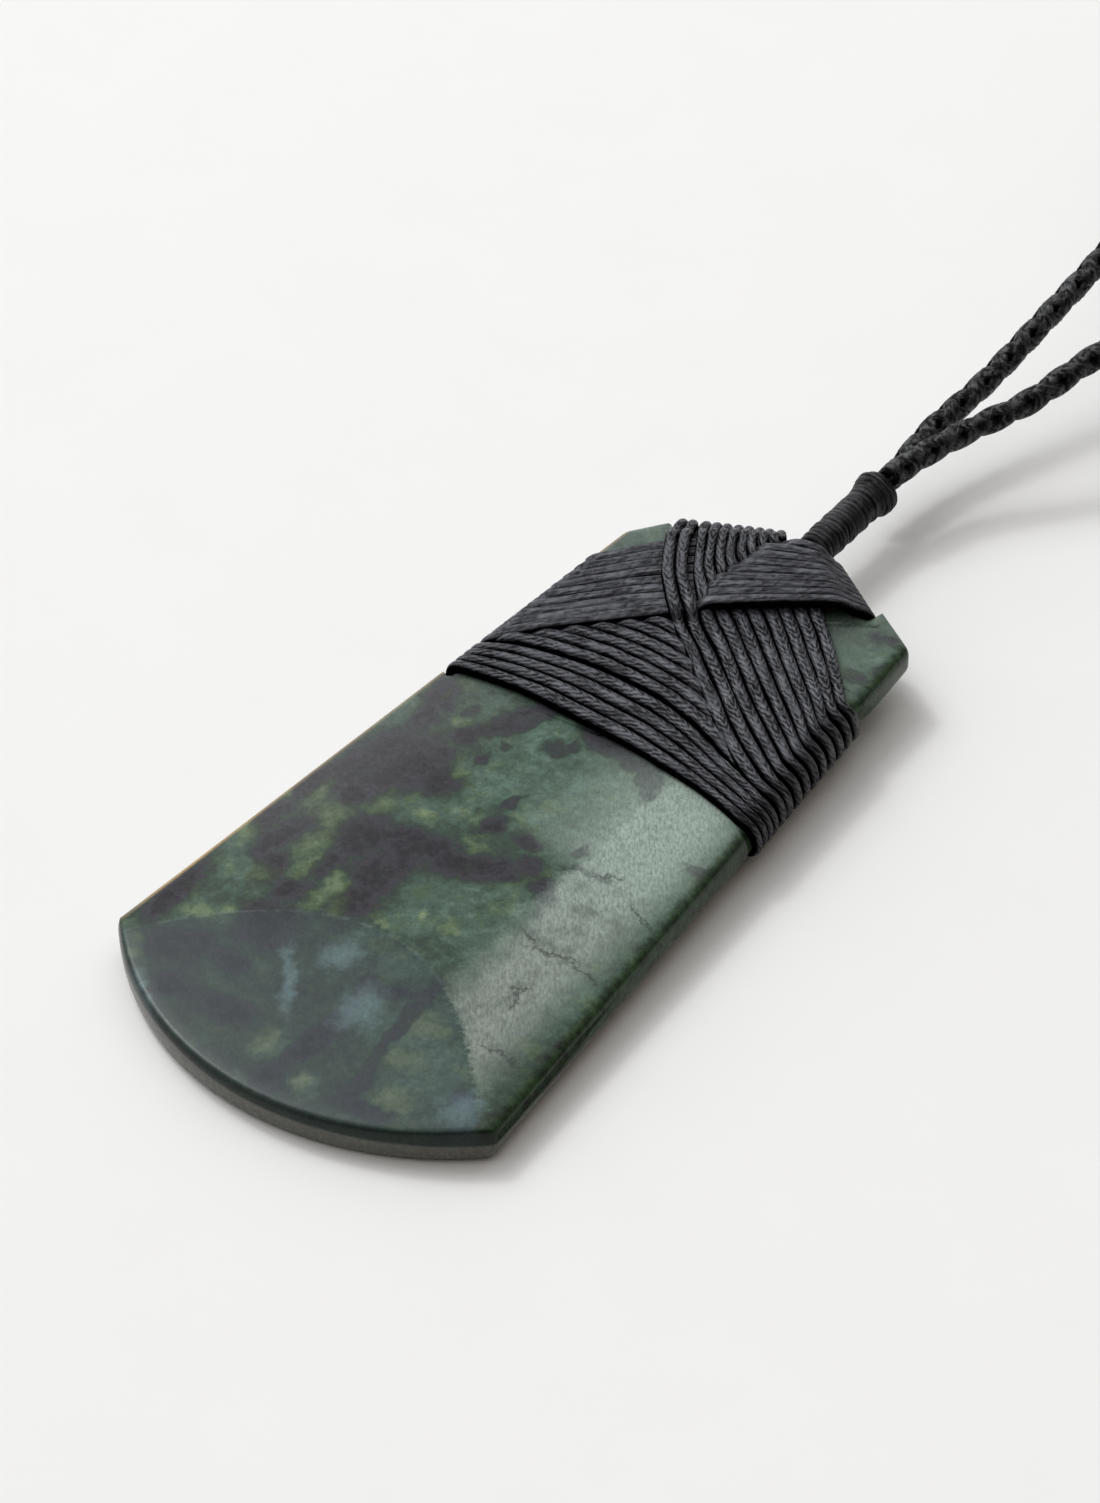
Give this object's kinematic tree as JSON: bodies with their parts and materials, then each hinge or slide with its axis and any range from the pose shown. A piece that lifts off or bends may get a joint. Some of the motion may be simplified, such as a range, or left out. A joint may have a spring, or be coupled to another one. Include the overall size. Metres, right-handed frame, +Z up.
{
  "type": "pendant",
  "caption": "Flat ground-stone blade with a curved cutting edge, lashed with black waxed cord round its narrow end and hung on a plaited cord neck loop, lying on a surface.",
  "frame": {"origin": "on the surface that the pendant lies on, under the middle of its bounding box", "axes": "+Y from the cutting edge along the blade to the far end of the neck loop, +X to the right seen from above, +Z up from the surface towards the front of the stone"},
  "size_m": [0.1324, 0.364, 0.0145],
  "materials": {
    "stone": "dark mottled greenstone, ground and rubbed to a satin",
    "lashing": "black waxed cord, satin",
    "thread": "fine black binding thread, wound tight",
    "plait": "black waxed threads plaited into a round cord"
  },
  "bodies": {
    "root": {"stone_blade": "stone", "lower_wraps": "lashing", "rising_wraps": "lashing", "falling_wraps": "lashing", "crossing_strands": "lashing", "collar": "thread", "neck_cord": "plait"}
  },
  "joints": []
}
